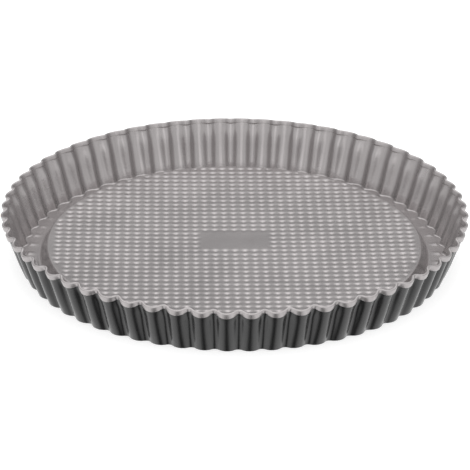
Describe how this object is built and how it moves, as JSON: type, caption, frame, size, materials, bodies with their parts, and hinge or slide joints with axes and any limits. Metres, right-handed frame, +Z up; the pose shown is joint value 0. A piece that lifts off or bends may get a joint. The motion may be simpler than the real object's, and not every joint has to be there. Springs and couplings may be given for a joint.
{
  "type": "tart pan",
  "caption": "Round fluted tart pan with a leaning wall, a folded rim hem and a loose, raised base plate that lifts out.",
  "frame": {"origin": "centre of the pan's foot, on the plane it stands on", "axes": "+Z up along the pan's axis; +X and -Y each through the middle of an outward flute"},
  "size_m": [0.28, 0.28, 0.0308],
  "materials": {
    "outer_coating": "dark grey semi-gloss non-stick coating on steel sheet",
    "inner_coating": "champagne grey metallic non-stick coating on steel sheet"
  },
  "bodies": {
    "ring": {"fluted_wall": "outer_coating", "rim_hem": "inner_coating", "bottom_ledge": "inner_coating"},
    "base": {"base_plate": "inner_coating"}
  },
  "joints": [
    {"name": "base_lift", "type": "slide", "parent": "ring", "child": "base", "axis": [0, 0, 1], "range_m": [0, 0.06]}
  ]
}
